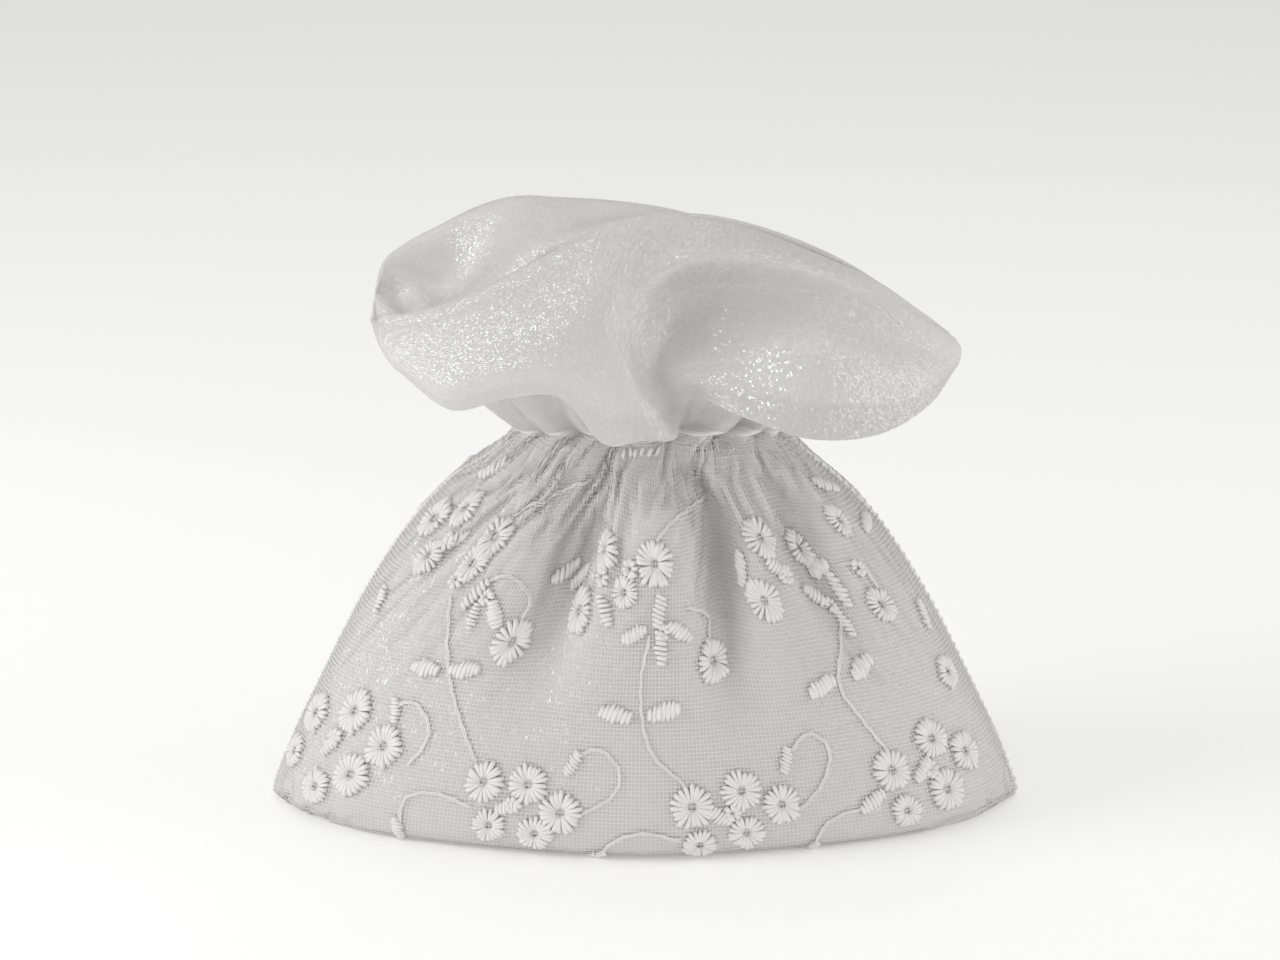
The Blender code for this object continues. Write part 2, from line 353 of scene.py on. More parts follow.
# %% Gather the bag
front_bag, front_run = bag_panel(FRONT, FRONT_FOLDS)
back_bag, back_run = bag_panel(BACK, BACK_FOLDS)
widest = np.maximum(front_run, back_run)
fullest = int(widest.argmax())
bag_widths = np.where(np.arange(BAG_ROWS + 1) < fullest, widest, widest.max())
for panel, side in ((front_bag, FRONT), (back_bag, BACK)):
    ring = pleated_ring(side, NECK_HEIGHT)
    for step in range(5):
        share = (step + 1) / 5 * 0.85
        row = BAG_ROWS - 4 + step
        panel[row] = panel[row] * (1 - share) + ring * share
bag_hold = []
for panel in (front_bag, back_bag):
    hold = 0.55 - 0.33 * ease(panel[..., 2], 10, 36)
    hold[:, [0, -1]] = np.maximum(hold[:, [0, -1]], 0.95 - 0.5 * ease(panel[:, [0, -1], 2], 10, 40))
    hold[0] = 1.0
    hold[-1] = 1.0
    bag_hold.append(hold)
flats = [flat_pattern(p, bag_widths) for p in (front_bag, back_bag)]
front_bag, back_bag = drape(
    "bag", (front_bag, back_bag), flats, bag_hold, shared_bottom=True,
    frames=24, bending=1.6, pressure=0.5, pins=0.5, collide=True)
for panel in (front_bag, back_bag):
    panel[..., 2] = np.maximum(panel[..., 2], 0.5)
print("bag spans", np.ptp(front_bag.reshape(-1, 3), axis=0).round(1), "mm")

# %% [markdown]
# ## The collar
# Each panel of the collar rises from the neck, bulges over a crest and falls back outside, so it is
# lofted through ribs. Each rib is a line of nine points: its foot in the neck, two up its inner wall,
# and six given over the crest and down to the rim. The front panel has a flap on its left, a
# pinch in the middle and a soft hollow on its right. The back panel rises behind the front one.

# %% The collar's ribs
def seen(x, y, up):
    """A point from how it looks from the camera: across, back from the middle plane, up in the view."""
    return (x, y, (up - y * math.sin(VIEW_RISE)) / math.cos(VIEW_RISE))


# the collar's side seams, shared by both panels: from the neck, out to the crest and over to the rim
LEFT_SEAM = [
    (-20.8, 0, 63), (-28, 0, 69), (-36, 0, 75.5), (-41.3, 0, 80.0), (-42.8, 0, 80.9), (-43.4, 0, 81.0),
    (-43.3, 0, 80.5), (-42.9, 0, 79.9), (-42.3, 0, 79.3),
]
RIGHT_SEAM = [
    (22.8, 0, 63), (31.5, 0, 69.5), (40.5, 0, 75.5), (46.8, 0, 79), (48.6, 0, 78.3), (49.7, 0, 77.2),
    (50.2, 0, 76), (50.1, 0, 74.8), (49.7, 0, 73.6),
]
# each front rib, from the left: its crest, four points down the outside, and the rim
FRONT_OUTSIDE = [
    [(-40.5, -5, 77.6), (-41.3, -6.5, 76.5), (-41.6, -8, 75),
     (-41.4, -9, 73.5), (-40.8, -10, 72), (-40, -11, 70.8)],
    [(-36.5, -8, 77.8), (-37, -10.5, 76), (-37.5, -12.5, 73.8),
     (-37.5, -14, 71.5), (-37, -15, 69.3), (-36.3, -15.5, 67.3)],
    [(-30, -9.5, 79.5), (-31, -13, 77), (-31.5, -16, 73.5),
     (-31.5, -18.5, 70), (-31, -20, 66.5), (-29.5, -20, 62.8)],
    [(-21, -9, 83.6), (-22.5, -13.5, 80.5), (-23.5, -17.5, 76.5),
     (-23.5, -20.5, 72.5), (-22.5, -22.5, 68.5), (-21, -22, 64.6)],
    [(-13, -8, 87.8), (-14, -13, 84), (-15, -17.5, 79.5),
     (-15.5, -21.5, 74.5), (-14.5, -23.5, 69.5), (-13, -23.5, 64.6)],
    [(-6, -7, 91.4), (-7.5, -12.5, 87.5), (-9, -17.5, 82),
     (-9, -21.5, 76), (-7.5, -24, 68.0), (-6.4, -24, 57.6)],
    [(0, -6.5, 92.8), (-2, -12, 88.8), (-5, -17.5, 82.5),
     (-6, -21.5, 75.5), (-4, -24, 67.0), (-0.5, -24.5, 58.0)],
    [(4.5, -6.5, 93.2), (1.5, -12, 88.0), (-2.8, -17, 81.5),
     (-3.6, -20.5, 74.5), (-1.5, -23, 66.5), (4.4, -22.5, 58.2)],
    [(8.5, -6.5, 92.6), (4.6, -13.5, 86.4), (0.2, -16.0, 80.5),
     (-0.6, -16.5, 73.5), (1.6, -15.6, 67.0), (5.4, -18.5, 61.0)],
    [(13.5, -6.2, 91.9), (9.0, -14, 86.8), (5.2, -10.5, 81.5),
     (4.2, -11.5, 75.0), (4.8, -17.0, 69.4), (7.8, -17.5, 64.8)],
    [(20, -6, 89.7), (17.0, -12.5, 86.4), (14.5, -10, 82),
     (13.8, -12.5, 76), (14.4, -17.8, 70.2), (15.6, -23, 61.4)],
    [(28, -5.5, 86.3), (27, -10, 84.3), (25.5, -10, 81),
     (25, -13, 76.2), (25.2, -20, 71), (25.2, -25.3, 58.3)],
    [(36, -4.5, 82.8), (36, -7, 81), (35.2, -8, 78.8),
     (34.8, -10.5, 75.2), (34.8, -18, 70), (35.5, -22.5, 58.9)],
    [(42.6, -3.5, 78.0), (43.8, -4.5, 77.5), (44, -6, 75.5),
     (44, -8, 72.5), (43.8, -11.5, 69), (43.8, -14.5, 63.4)],
]
# each back rib: the fold behind the front crest, the slope above it, the crest, and three points down
# the back
BACK_OUTSIDE = [
    [(-41, -3.8, 77.4), (-42.2, 2.8, 81.3), (-42.0, 5.5, 85.6),
     (-42.4, 8, 85.4), (-42.6, 10, 84), (-42.4, 12, 81.5)],
    [(-36.5, -6.4, 77.2), (-36.8, 5.5, 82.2), (-39.0, 10, 89.0),
     (-40, 13, 88.2), (-41, 16, 85.5), (-41, 18, 81.5)],
    [(-29.5, -7.4, 78.8), (-29.5, 8.0, 83.6), (-32.8, 13, 92.0),
     (-36, 17, 91.5), (-38, 21, 88), (-38.5, 23, 83)],
    [(-21.5, -7.0, 83.0), (-22.5, 4.5, 89.4), (-21.6, 15, 97.0),
     (-26, 21, 96.5), (-28, 26, 92), (-29, 28, 85)],
    [(-15.5, -6.6, 86.4), (-16.0, -1.0, 91.2), (-13.2, 14, 97.3),
     (-15, 22, 96), (-16, 27.5, 91), (-16.5, 29.5, 84)],
    [(-7, -5.8, 90.6), (-7, 5.5, 93.6), (-4.6, 14.5, 96.9),
     (-5, 21, 95), (-5, 27, 90), (-5, 29.5, 83)],
    [(4, -4.8, 92.4), (4.5, 4, 94), (5, 12, 95.2),
     (6, 19, 93.3), (7, 25, 88.5), (7.5, 28, 81.5)],
    [(12, -4.6, 92.3), (13, 3, 92.3), (14, 10, 91.8),
     (16, 17, 89.7), (18, 22.5, 85.5), (19, 25, 79.2)],
    [(22, -4.4, 89.8), (23, 2, 88.3), (24.5, 8, 86.8),
     (27, 14, 85), (29, 19, 81.5), (30, 21, 76.5)],
    [(32, -3.6, 85.5), (33, 1, 83.5), (34.5, 6, 82),
     (36.5, 10.5, 80.7), (38.5, 14.5, 78), (39.5, 16.5, 74)],
    [(41, -2.4, 79.6), (42, 0.5, 77.8), (43, 3.2, 76.8),
     (44.5, 5.8, 76), (45.5, 8.2, 74.2), (46, 9.8, 71.5)],
]
COLLAR_ROWS = 64
INNER_BULGE = 1.5    # mm


def whole_ribs(outside, side):
    """Adds each rib's foot in the neck and its inner wall, and the two seams at the ends."""
    ribs = []
    for k in range(len(outside) + 2):
        turn = -math.pi / 2 + math.pi * k / (len(outside) + 1)
        foot_x = NECK_CENTRE + NECK_HALF_WIDTH * math.sin(turn)
        foot = np.array([foot_x, side * NECK_HALF_DEPTH * math.cos(turn), NECK_HEIGHT])
        if k in (0, len(outside) + 1):
            ribs.append(LEFT_SEAM if k == 0 else RIGHT_SEAM)
            continue
        top = [np.array(seen(*p)) for p in outside[k - 1]]
        rise = top[0] - foot
        bulge = np.array([0, side * INNER_BULGE, 0])
        inner = [foot + rise * t + bulge * math.sin(math.pi * t) for t in (0.33, 0.68)]
        ribs.append([foot, *inner, *top])
    return ribs


# where each rib's points fall along the cloth, from the neck to the rim
FRONT_SHARES = [0, 0.15, 0.31, 0.46, 0.58, 0.68, 0.78, 0.88, 1.0]
BACK_SHARES = [0, 0.12, 0.24, 0.37, 0.50, 0.68, 0.78, 0.88, 1.0]


def loft(ribs, shares, rows, columns):
    """A smooth sheet through ribs. Their points fall on the same rows, so ridges run on across them."""
    at = np.interp(np.linspace(0, 1, rows + 1), shares, np.linspace(0, 1, len(shares)))
    drawn = np.array([through(rib, at) for rib in ribs])
    sheet = np.array([through(drawn[:, i], np.linspace(0, 1, 401)) for i in range(rows + 1)])
    spread = np.mean([lengths(row) / lengths(row)[-1] for row in sheet], axis=0)
    across = np.interp(np.linspace(0, 1, columns + 1), spread, np.linspace(0, 1, 401))
    return np.array([through(drawn[:, i], across) for i in range(rows + 1)])


# %% Loft the collar
front_collar = loft(whole_ribs(FRONT_OUTSIDE, FRONT), FRONT_SHARES, COLLAR_ROWS, COLUMNS)
back_collar = loft(whole_ribs(BACK_OUTSIDE, BACK), BACK_SHARES, COLLAR_ROWS, COLUMNS)
print("collar lofted through", len(FRONT_OUTSIDE), "and", len(BACK_OUTSIDE), "ribs")

# %% [markdown]
# ## Gathering the collar
# The back panel puckers where it turns inwards at its left tip, so a few small ripples are added there.
# Organza is springy: it bends more stiffly than the net, which keeps its puffs open. The pleats of the
# ring run a little way up both panels and fade out.

# %% Ripples at the left tip
tip_share = np.linspace(0, 1, COLUMNS + 1)[None]
rise_share = np.linspace(0, 1, COLLAR_ROWS + 1)[:, None]
ripple = np.sin(2 * math.pi * (tip_share * 16 + rise_share * 5))
ripple = ripple * ease(tip_share, 0.0, 0.04) * (1 - ease(tip_share, 0.1, 0.2))
ripple = ripple * ease(rise_share, 0.3, 0.4) * (1 - ease(rise_share, 0.5, 0.62))
back_collar += ripple[..., None] * np.array([0.0, -0.8, 0.5])

# %% Gather the collar
HELD_ROWS, PLEATED_ROWS = 5, 16
collar_hold, collar_flats = [], []
for panel, side in ((front_collar, FRONT), (back_collar, BACK)):
    runs = np.array([lengths(row)[-1] for row in panel])
    ring = pleated_ring(side, NECK_HEIGHT + 0.5)
    pleats = ring - pleated_ring(side, NECK_HEIGHT + 0.5, deep_share=0.0)
    for step in range(PLEATED_ROWS):
        share = max(0.0, (HELD_ROWS - step) / HELD_ROWS * 0.85)
        fading = max(0.0, 0.8 * (PLEATED_ROWS - step) / PLEATED_ROWS - share)
        panel[step] = panel[step] * (1 - share) + ring * share + pleats * fading
    rise = np.linspace(0, 1, COLLAR_ROWS + 1)
    grip = (0.25 + 0.35 * ease(rise, 0.15, 0.45))[:, None] * np.ones((1, COLUMNS + 1))
    grip[0] = 1.0
    grip[:, [0, -1]] = np.maximum(grip[:, [0, -1]], 0.6)
    collar_hold.append(grip)
    spare = (CLOTH_WIDTH - 4 - runs[0]) * (1 - ease(rise, 0.0, 0.4))
    collar_flats.append(flat_pattern(panel, runs + spare))
front_collar, back_collar = drape(
    "collar", (front_collar, back_collar), collar_flats, collar_hold, shared_bottom=False,
    frames=20, bending=5.0, pressure=0.0, pins=1.5, collide=False)
print("collar rim is", round(lengths(front_collar[-1])[-1]), "mm long at the front")


# %% [markdown]
# ## From grids to pieces
# A settled grid becomes a mesh with its own UV map, measured in millimetres of cloth, so that weave
# and stitches follow the cloth and not the room. A finer copy of the grid, with its normals, is what
# threads and stitches are laid on.


# %% Build a sheet from a grid
def unit(vectors):
    return vectors / np.maximum(np.linalg.norm(vectors, axis=-1), 1e-9)[..., None]


def unit_normals(grid, side):
    outwards = 1 if side == FRONT else -1
    return unit(np.cross(np.gradient(grid, axis=1), np.gradient(grid, axis=0)) * outwards)


def finer(grid, times):
    """The same grid with more points, on smooth lines through the old ones."""
    rows, columns = grid.shape[:2]
    up, across = np.linspace(0, 1, (rows - 1) * times + 1), np.linspace(0, 1, (columns - 1) * times + 1)
    tall = np.stack([through(grid[:, j], up) for j in range(columns)], axis=1)
    return np.stack([through(row, across) for row in tall])


def cloth_at(cloth, across, up, lift):
    """Points lifted off a cloth, and its normals there. across and up are shares of the panel."""
    points, normals = cloth
    rows, columns = points.shape[:2]
    x, y = np.clip(across, 0, 1) * (columns - 1), np.clip(up, 0, 1) * (rows - 1)
    j, i = np.minimum(x.astype(int), columns - 2), np.minimum(y.astype(int), rows - 2)
    fx, fy = (x - j)[..., None], (y - i)[..., None]

    def mixed(g):
        lower = g[i, j] * (1 - fx) + g[i, j + 1] * fx
        upper = g[i + 1, j] * (1 - fx) + g[i + 1, j + 1] * fx
        return lower * (1 - fy) + upper * fy

    n = unit(mixed(normals))
    place = mixed(points) + n * np.asarray(lift)[..., None]
    place[..., 2] = np.maximum(place[..., 2], 0.12)
    return place, n


# %% Make meshes of them
def add_piece(name, points, faces, uv=None):
    """A mesh piece from points in mm, with an optional UV map in mm of cloth."""
    mesh = bpy.data.meshes.new(name)
    mesh.from_pydata((points.reshape(-1, 3) * MM).tolist(), [], faces.tolist())
    if uv is not None:
        layer = mesh.uv_layers.new(name="cloth_mm")
        corner = np.zeros(len(mesh.loops), int)
        mesh.loops.foreach_get("vertex_index", corner)
        layer.data.foreach_set("uv", uv.reshape(-1, 2)[corner].ravel().astype(np.float32))
    mesh.shade_smooth()
    piece = bpy.data.objects.new(name, mesh)
    bpy.context.scene.collection.objects.link(piece)
    bpy.context.view_layer.objects.active = piece
    return piece


def sheet_piece(name, grid, side, width, height):
    rows, columns = grid.shape[:2]
    faces = panel_faces(np.arange(rows * columns).reshape(rows, columns))
    u, v = np.meshgrid(np.linspace(0, width, columns), np.linspace(0, height, rows))
    return add_piece(name, grid, faces if side == FRONT else faces[:, ::-1], np.stack([u, v], axis=2))


def thicken(piece, thickness):
    """Gives a sheet a real thickness (mm), half on each side, with crisp edges."""
    wall = piece.modifiers.new("thickness", "SOLIDIFY")
    wall.thickness, wall.offset = thickness * MM, 0
    bpy.context.view_layer.objects.active = piece
    bpy.ops.object.modifier_apply(modifier=wall.name)
    piece.data.set_sharp_from_angle(angle=math.radians(55))


def moves_with(piece):
    """Bakes the piece's placement into its points."""
    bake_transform(piece)


def dress(piece, finish, nodes=()):
    """Gives a piece its finish, and hides the CAD nodes it stands for."""
    piece.data.materials.append(finish)
    if nodes:
        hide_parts(*nodes)


# %% [markdown]
# ## Finishes
# Everything is white, so the finishes differ by their weave, sheen and glints. Each one is made of
# procedural textures, on the cloth's own millimetres or on the piece's own space, so that nothing slides
# when the cloth moves.


# %% Finish tools
def finish(name, color, roughness, sheen, sheen_roughness=0.4):
    mat = bpy.data.materials.new(name)
    mat.use_nodes = True
    bsdf = surface(mat)
    bsdf.inputs["Base Color"].default_value = (*color, 1)
    bsdf.inputs["Roughness"].default_value = roughness
    bsdf.inputs["Sheen Weight"].default_value = sheen
    bsdf.inputs["Sheen Roughness"].default_value = sheen_roughness
    return mat


def node(mat, kind, inputs=(), **settings):
    made = mat.node_tree.nodes.new(kind)
    for key, value in settings.items():
        setattr(made, key, value)
    for key, value in dict(inputs).items():
        made.inputs[key].default_value = value
    return made


def link(mat, a, out, b, into):
    mat.node_tree.links.new(a.outputs[out], b.inputs[into])


def surface(mat):
    return mat.node_tree.nodes["Principled BSDF"]


def on_cloth(mat, kind, inputs=(), **settings):
    """A texture laid on the cloth's own map."""
    texture = node(mat, kind, inputs, **settings)
    link(mat, node(mat, "ShaderNodeUVMap", uv_map="cloth_mm"), "UV", texture, "Vector")
    return texture


def in_piece(mat, kind, inputs):
    """A texture that fills the space of a piece."""
    texture = node(mat, kind, inputs)
    link(mat, node(mat, "ShaderNodeTexCoord"), "Object", texture, "Vector")
    return texture


def bumpy(mat, source, out, strength, height, after=None):
    """Adds a bump from a texture, over an earlier bump if there is one."""
    bump = node(mat, "ShaderNodeBump", {"Strength": strength, "Distance": height * MM})
    link(mat, source, out, bump, "Height")
    if after:
        link(mat, after, "Normal", bump, "Normal")
    link(mat, bump, "Normal", surface(mat), "Normal")
    return bump


def tinted(mat, source, out, low, high, start=0.3, end=0.7):
    """Colours the piece between two shades by a texture."""
    ramp = node(mat, "ShaderNodeValToRGB")
    ramp.color_ramp.elements[0].position, ramp.color_ramp.elements[1].position = start, end
    ramp.color_ramp.elements[0].color, ramp.color_ramp.elements[1].color = (*low, 1), (*high, 1)
    link(mat, source, out, ramp, "Fac")
    link(mat, ramp, "Color", surface(mat), "Base Color")


def shimmer(mat, cell, spread, weight, gloss):
    """Flakes one cell wide (mm) in a clear coat, each tipped its own way, so that some catch a lamp."""
    flakes = on_cloth(mat, "ShaderNodeTexVoronoi", {"Scale": 1 / cell})
    tip = node(mat, "ShaderNodeNormalMap", {"Strength": spread}, uv_map="cloth_mm")
    split = node(mat, "ShaderNodeSeparateColor")
    leaned = node(mat, "ShaderNodeCombineColor", {"Blue": 1.0})
    link(mat, flakes, "Color", split, "Color")
    link(mat, split, "Red", leaned, "Red")
    link(mat, split, "Green", leaned, "Green")
    link(mat, leaned, "Color", tip, "Color")
    bsdf = surface(mat)
    link(mat, tip, "Normal", bsdf, "Coat Normal")
    bsdf.inputs["Coat Weight"].default_value = weight
    bsdf.inputs["Coat Roughness"].default_value = gloss
    bsdf.inputs["Coat IOR"].default_value = 3.0
    return split


# %% [markdown]
# ## Satin
# The lining is a plain polyester satin: long floats of thread lie side by side, so it is smooth with a
# soft streak. A wave texture makes the floats, and a few flakes of shimmer stand for glints in them.

# %% Satin for the lining
satin = finish("white_satin", (0.86, 0.845, 0.83), roughness=0.45, sheen=0.3)
float_look = {"Scale": 1.6, "Distortion": 1.5, "Detail": 1.0, "Detail Scale": 2.0}
floats = on_cloth(satin, "ShaderNodeTexWave", float_look, bands_direction="X")
weave_bump = bumpy(satin, floats, "Fac", strength=0.25, height=0.05)
glints = on_cloth(satin, "ShaderNodeTexVoronoi", {"Scale": 2.2})
bumpy(satin, glints, "Color", strength=0.25, height=0.06, after=weave_bump)
shimmer(satin, cell=0.4, spread=0.5, weight=0.35, gloss=0.08)

# %% [markdown]
# ## Net thread
# The net is matt cotton. Its threads are real geometry, so the finish only needs a fibrous surface.

# %% Cotton thread for the net
cotton = finish("net_thread", (0.885, 0.875, 0.865), roughness=0.65, sheen=0.2)
fibre = in_piece(cotton, "ShaderNodeTexNoise", {"Scale": 9000, "Detail": 2})
bumpy(cotton, fibre, "Fac", strength=0.4, height=0.02)

# %% [markdown]
# ## Organza
# The collar is a shimmer organza: a thin, springy weave with glitter in it that lets some light through.
# A checker gives the weave and slow noise the slubs. Some of the flake cells, picked at random, are also
# painted almost white in the base colour: painted glints. A translucent shader mixed in brightens its
# folds and the neck below them, as thin cloth does.

# %% Shimmering organza
organza = finish("shimmer_organza", (0.87, 0.872, 0.885), roughness=0.5, sheen=0.3, sheen_roughness=0.3)
crossed = on_cloth(organza, "ShaderNodeTexChecker", {"Scale": 4.0})
weave_bump = bumpy(organza, crossed, "Fac", strength=0.15, height=0.04)
slub = on_cloth(organza, "ShaderNodeTexNoise", {"Scale": 0.3, "Detail": 1.5})
bumpy(organza, slub, "Fac", strength=0.2, height=0.35, after=weave_bump)
flakes = shimmer(organza, cell=0.27, spread=0.42, weight=0.9, gloss=0.16)
# painted glints: flake cells with a high blue value are painted almost white in the base colour
tinted(organza, flakes, "Blue", (0.85, 0.852, 0.865), (0.99, 0.99, 0.99), start=0.72, end=0.92)
glow = node(organza, "ShaderNodeBsdfTranslucent", {"Color": (0.975, 0.955, 0.94, 1)})
through_cloth = node(organza, "ShaderNodeMixShader", {"Fac": 0.48})
link(organza, surface(organza), "BSDF", through_cloth, 1)
link(organza, glow, "BSDF", through_cloth, 2)
link(organza, through_cloth, "Shader", organza.node_tree.nodes["Material Output"], "Surface")

# %% [markdown]
# ## Embroidery thread
# The flowers are sewn with a glossy twisted rayon. Slanting bands along each stitch are the twist.

# %% Embroidery thread
rayon = finish("embroidery_thread", (0.93, 0.915, 0.90), roughness=0.38, sheen=0.3)
twist_look = {"Scale": 1.1, "Distortion": 0.4, "Detail": 1.0}
twist = on_cloth(rayon, "ShaderNodeTexWave", twist_look, bands_direction="DIAGONAL")
bumpy(rayon, twist, "Fac", strength=0.5, height=0.05)

# %% [markdown]
# ## Folded tape
# The rolled seams and the hidden cord are folded cloth, a little creamier and duller than the rest.

# %% Folded cloth for seams and the cord
tape = finish("folded_tape", (0.88, 0.87, 0.85), roughness=0.6, sheen=0.3)
grain = in_piece(tape, "ShaderNodeTexNoise", {"Scale": 2500, "Detail": 3})
bumpy(tape, grain, "Fac", strength=0.35, height=0.05)
tinted(tape, grain, "Fac", (0.84, 0.825, 0.80), (0.91, 0.90, 0.88))
print("finishes:", [m.name for m in bpy.data.materials])

# %% [markdown]
# ## Threads
# The net is real thread: one line for every warp and weft, 0.65 mm apart, laid just off the lining.
# Every stitch of the embroidery is a short, bent, tapered thread too. One function turns any number of
# lines into round threads.


# %% Lines to threads
def threads(name, lines, normals, radius, sides, closed=False):
    """Round threads along lines. radius is one number, or one for every point. closed adds flat ends."""
    count, steps = lines.shape[:2]
    along = unit(np.gradient(lines, axis=1))
    beside = unit(np.cross(along, normals))
    above = np.cross(beside, along)
    turn = 2 * math.pi * (np.arange(sides) + 0.5) / sides
    thick = np.broadcast_to(radius, (count, steps))
    ring = np.cos(turn)[:, None] * above[:, :, None] + np.sin(turn)[:, None] * beside[:, :, None]
    points = lines[:, :, None] + thick[:, :, None, None] * ring
    points[..., 2] = np.maximum(points[..., 2], 0.02)
    index = np.arange(count * steps * sides).reshape(count, steps, sides)
    a, b = index[:, :-1], index[:, 1:]
    faces = np.stack([a, np.roll(a, -1, axis=2), np.roll(b, -1, axis=2), b], axis=-1).reshape(-1, 4)
    if closed and sides == 4:
        faces = np.concatenate([faces, index[:, 0, ::-1], index[:, -1]])
    steps_run = np.linalg.norm(np.diff(lines, axis=1), axis=2)
    run = np.concatenate([np.zeros((count, 1)), np.cumsum(steps_run, axis=1)], axis=1)
    uv = np.stack(np.broadcast_arrays(turn * thick[..., None], run[..., None]), axis=-1)
    return add_piece(name, points, faces, uv)


# %% The net
NET_PITCH, NET_THREAD = 0.65, 0.17    # mm
WARP_LIFT, WEFT_LIFT = 0.30, 0.40     # mm off the lining: the weft crosses just above the warp
THREAD_STEP = 1.3                     # mm between a thread's points
BAG_FLAT_WIDTH = float(bag_widths.max())
BAG_FLAT_HEIGHT = float(np.mean([lengths(front_bag[:, j])[-1] for j in range(8, COLUMNS - 8, 6)]))


def net_threads(name, cloth, across, up, lift):
    lines, normals = cloth_at(cloth, across, up, np.full(across.shape, lift))
    return threads(name, lines, normals, NET_THREAD / 2, sides=3)


def net(name, cloth, width, height):
    """Warp and weft over a whole panel, joined into one piece."""
    warps, wefts = (np.arange(int(size / NET_PITCH)) for size in (width, height))
    up_steps, across_steps = (np.linspace(0.0, 1, int(size / THREAD_STEP)) for size in (height, width))
    across, up = np.meshgrid((warps + 0.5) / len(warps), up_steps, indexing="ij")
    warp = net_threads(name, cloth, across, up, WARP_LIFT)
    up, across = np.meshgrid((wefts + 0.5) / len(wefts), across_steps, indexing="ij")
    weft = net_threads(name + "_weft", cloth, across, up, WEFT_LIFT)
    bpy.ops.object.select_all(action="DESELECT")
    warp.select_set(True)
    weft.select_set(True)
    bpy.context.view_layer.objects.active = warp
    bpy.ops.object.join()
    return warp


print("bag panel flat:", round(BAG_FLAT_WIDTH), "x", round(BAG_FLAT_HEIGHT), "mm")

# %% [markdown]
# ## Embroidery
# Each motif is a small set of stitches on flat cloth: a daisy is a ring of straight stitches round an
# eyelet, a leaf a row of slanting ones, a stem a chain of short ones. Motifs are placed by where they
# are seen from the front, then every stitch is bent onto the cloth.


# %% Stitches on flat cloth
STITCH_STEPS = 6
ALONG = np.linspace(0, 1, STITCH_STEPS)
dice = np.random.default_rng(21)


def stitch(starts, ends, rise, thick):
    """Stitches between points on flat cloth, bowed up by a rise, with a thickness along them (mm)."""
    flat = starts[:, None] * (1 - ALONG[None, :, None]) + ends[:, None] * ALONG[None, :, None]
    lift = np.broadcast_to(WARP_LIFT + rise * np.sin(math.pi * ALONG) ** 0.7, flat.shape[:2])
    width = np.broadcast_to(thick, flat.shape[:2]) * dice.uniform(0.9, 1.1, (len(flat), 1))
    return np.concatenate([flat, lift[..., None], width[..., None]], axis=2)


# %% Daisies and leaves
STITCH_RISE = 0.26    # mm


def daisy(radius, count=20):
    turn = 2 * math.pi * (np.arange(count) + dice.uniform(-0.18, 0.18, count)) / count
    reach = radius * (1 + 0.05 * np.sin(5 * turn + dice.uniform(0, 6)) + dice.uniform(-0.09, 0.05, count))
    way = np.stack([np.cos(turn), np.sin(turn)], axis=1)
    leaned = np.stack([np.cos(turn + 0.12), np.sin(turn + 0.12)], axis=1)
    spread = radius / count * np.array([1.0, 1.7, 2.3, 2.75, 2.9, 1.9])
    return stitch(leaned * 0.2 * radius, way * reach[:, None], STITCH_RISE, spread)


def leaf(length, width, lean=0.25, count=7):
    at = np.linspace(-0.5, 0.5, count) * length
    half = width / 2 * np.sqrt(np.clip(1 - (1.5 * at / length) ** 2, 0.3, 1))
    half = half * dice.uniform(0.85, 1.12, count)
    shift = dice.uniform(-0.15, 0.15, count)
    low = np.stack([at - lean * half, shift - half], axis=1)
    high = np.stack([at + lean * half, shift + half], axis=1)
    return stitch(low, high, STITCH_RISE, length / count * np.array([0.45, 0.66, 0.74, 0.74, 0.66, 0.45]))


def turned(stitches, degrees):
    c, s = math.cos(math.radians(degrees)), math.sin(math.radians(degrees))
    out = stitches.copy()
    out[..., 0] = stitches[..., 0] * c - stitches[..., 1] * s
    out[..., 1] = stitches[..., 0] * s + stitches[..., 1] * c
    return out


# %% [markdown]
# ## The pattern
# The embroidery repeats along the bag: sprays of daisies near the base and near the neck, joined by
# stems with pairs of leaves, and curls that end in a bud.

# %% Where motifs lie
# flowers: across and up as seen from the front, and radius (mm)
FLOWERS = [
    (-33.5, 45.8, 3.3), (-28.2, 47.6, 3.2), (-23.6, 43.0, 3.6), (-34.2, 39.8, 3.2), (-27.0, 38.8, 3.2),
    (-20.9, 26.7, 3.7), (-6.1, 41.0, 3.3), (1.6, 39.1, 3.8), (-10.0, 31.6, 3.5), (-3.2, 34.6, 2.6),
    (10.5, 23.6, 3.6), (18.0, 43.0, 3.4), (18.8, 33.0, 3.5), (24.4, 41.3, 3.0), (37.4, 32.2, 3.0),
    (30.5, 45.5, 2.6), (-53.1, 14.2, 3.4), (-46.2, 14.9, 3.6), (-41.4, 9.8, 3.6), (-47.0, 4.8, 3.6),
    (-53.0, 2.6, 3.0), (-57.0, 7.8, 2.8), (-25.4, 4.5, 3.4), (-18.3, 4.4, 3.4), (-13.4, -0.2, 3.5),
    (-17.4, -3.6, 3.0), (-24.5, -2.6, 2.8), (7.2, 0.8, 3.6), (15.0, 3.4, 3.4), (21.3, 1.0, 3.2),
    (15.8, -3.4, 3.0), (8.6, -5.2, 2.8), (39.0, 5.8, 3.5), (45.6, 10.8, 3.4), (51.3, 8.3, 3.2),
    (48.4, 2.6, 3.5), (41.6, -0.6, 2.8), (48.5, 21.0, 2.8),
]
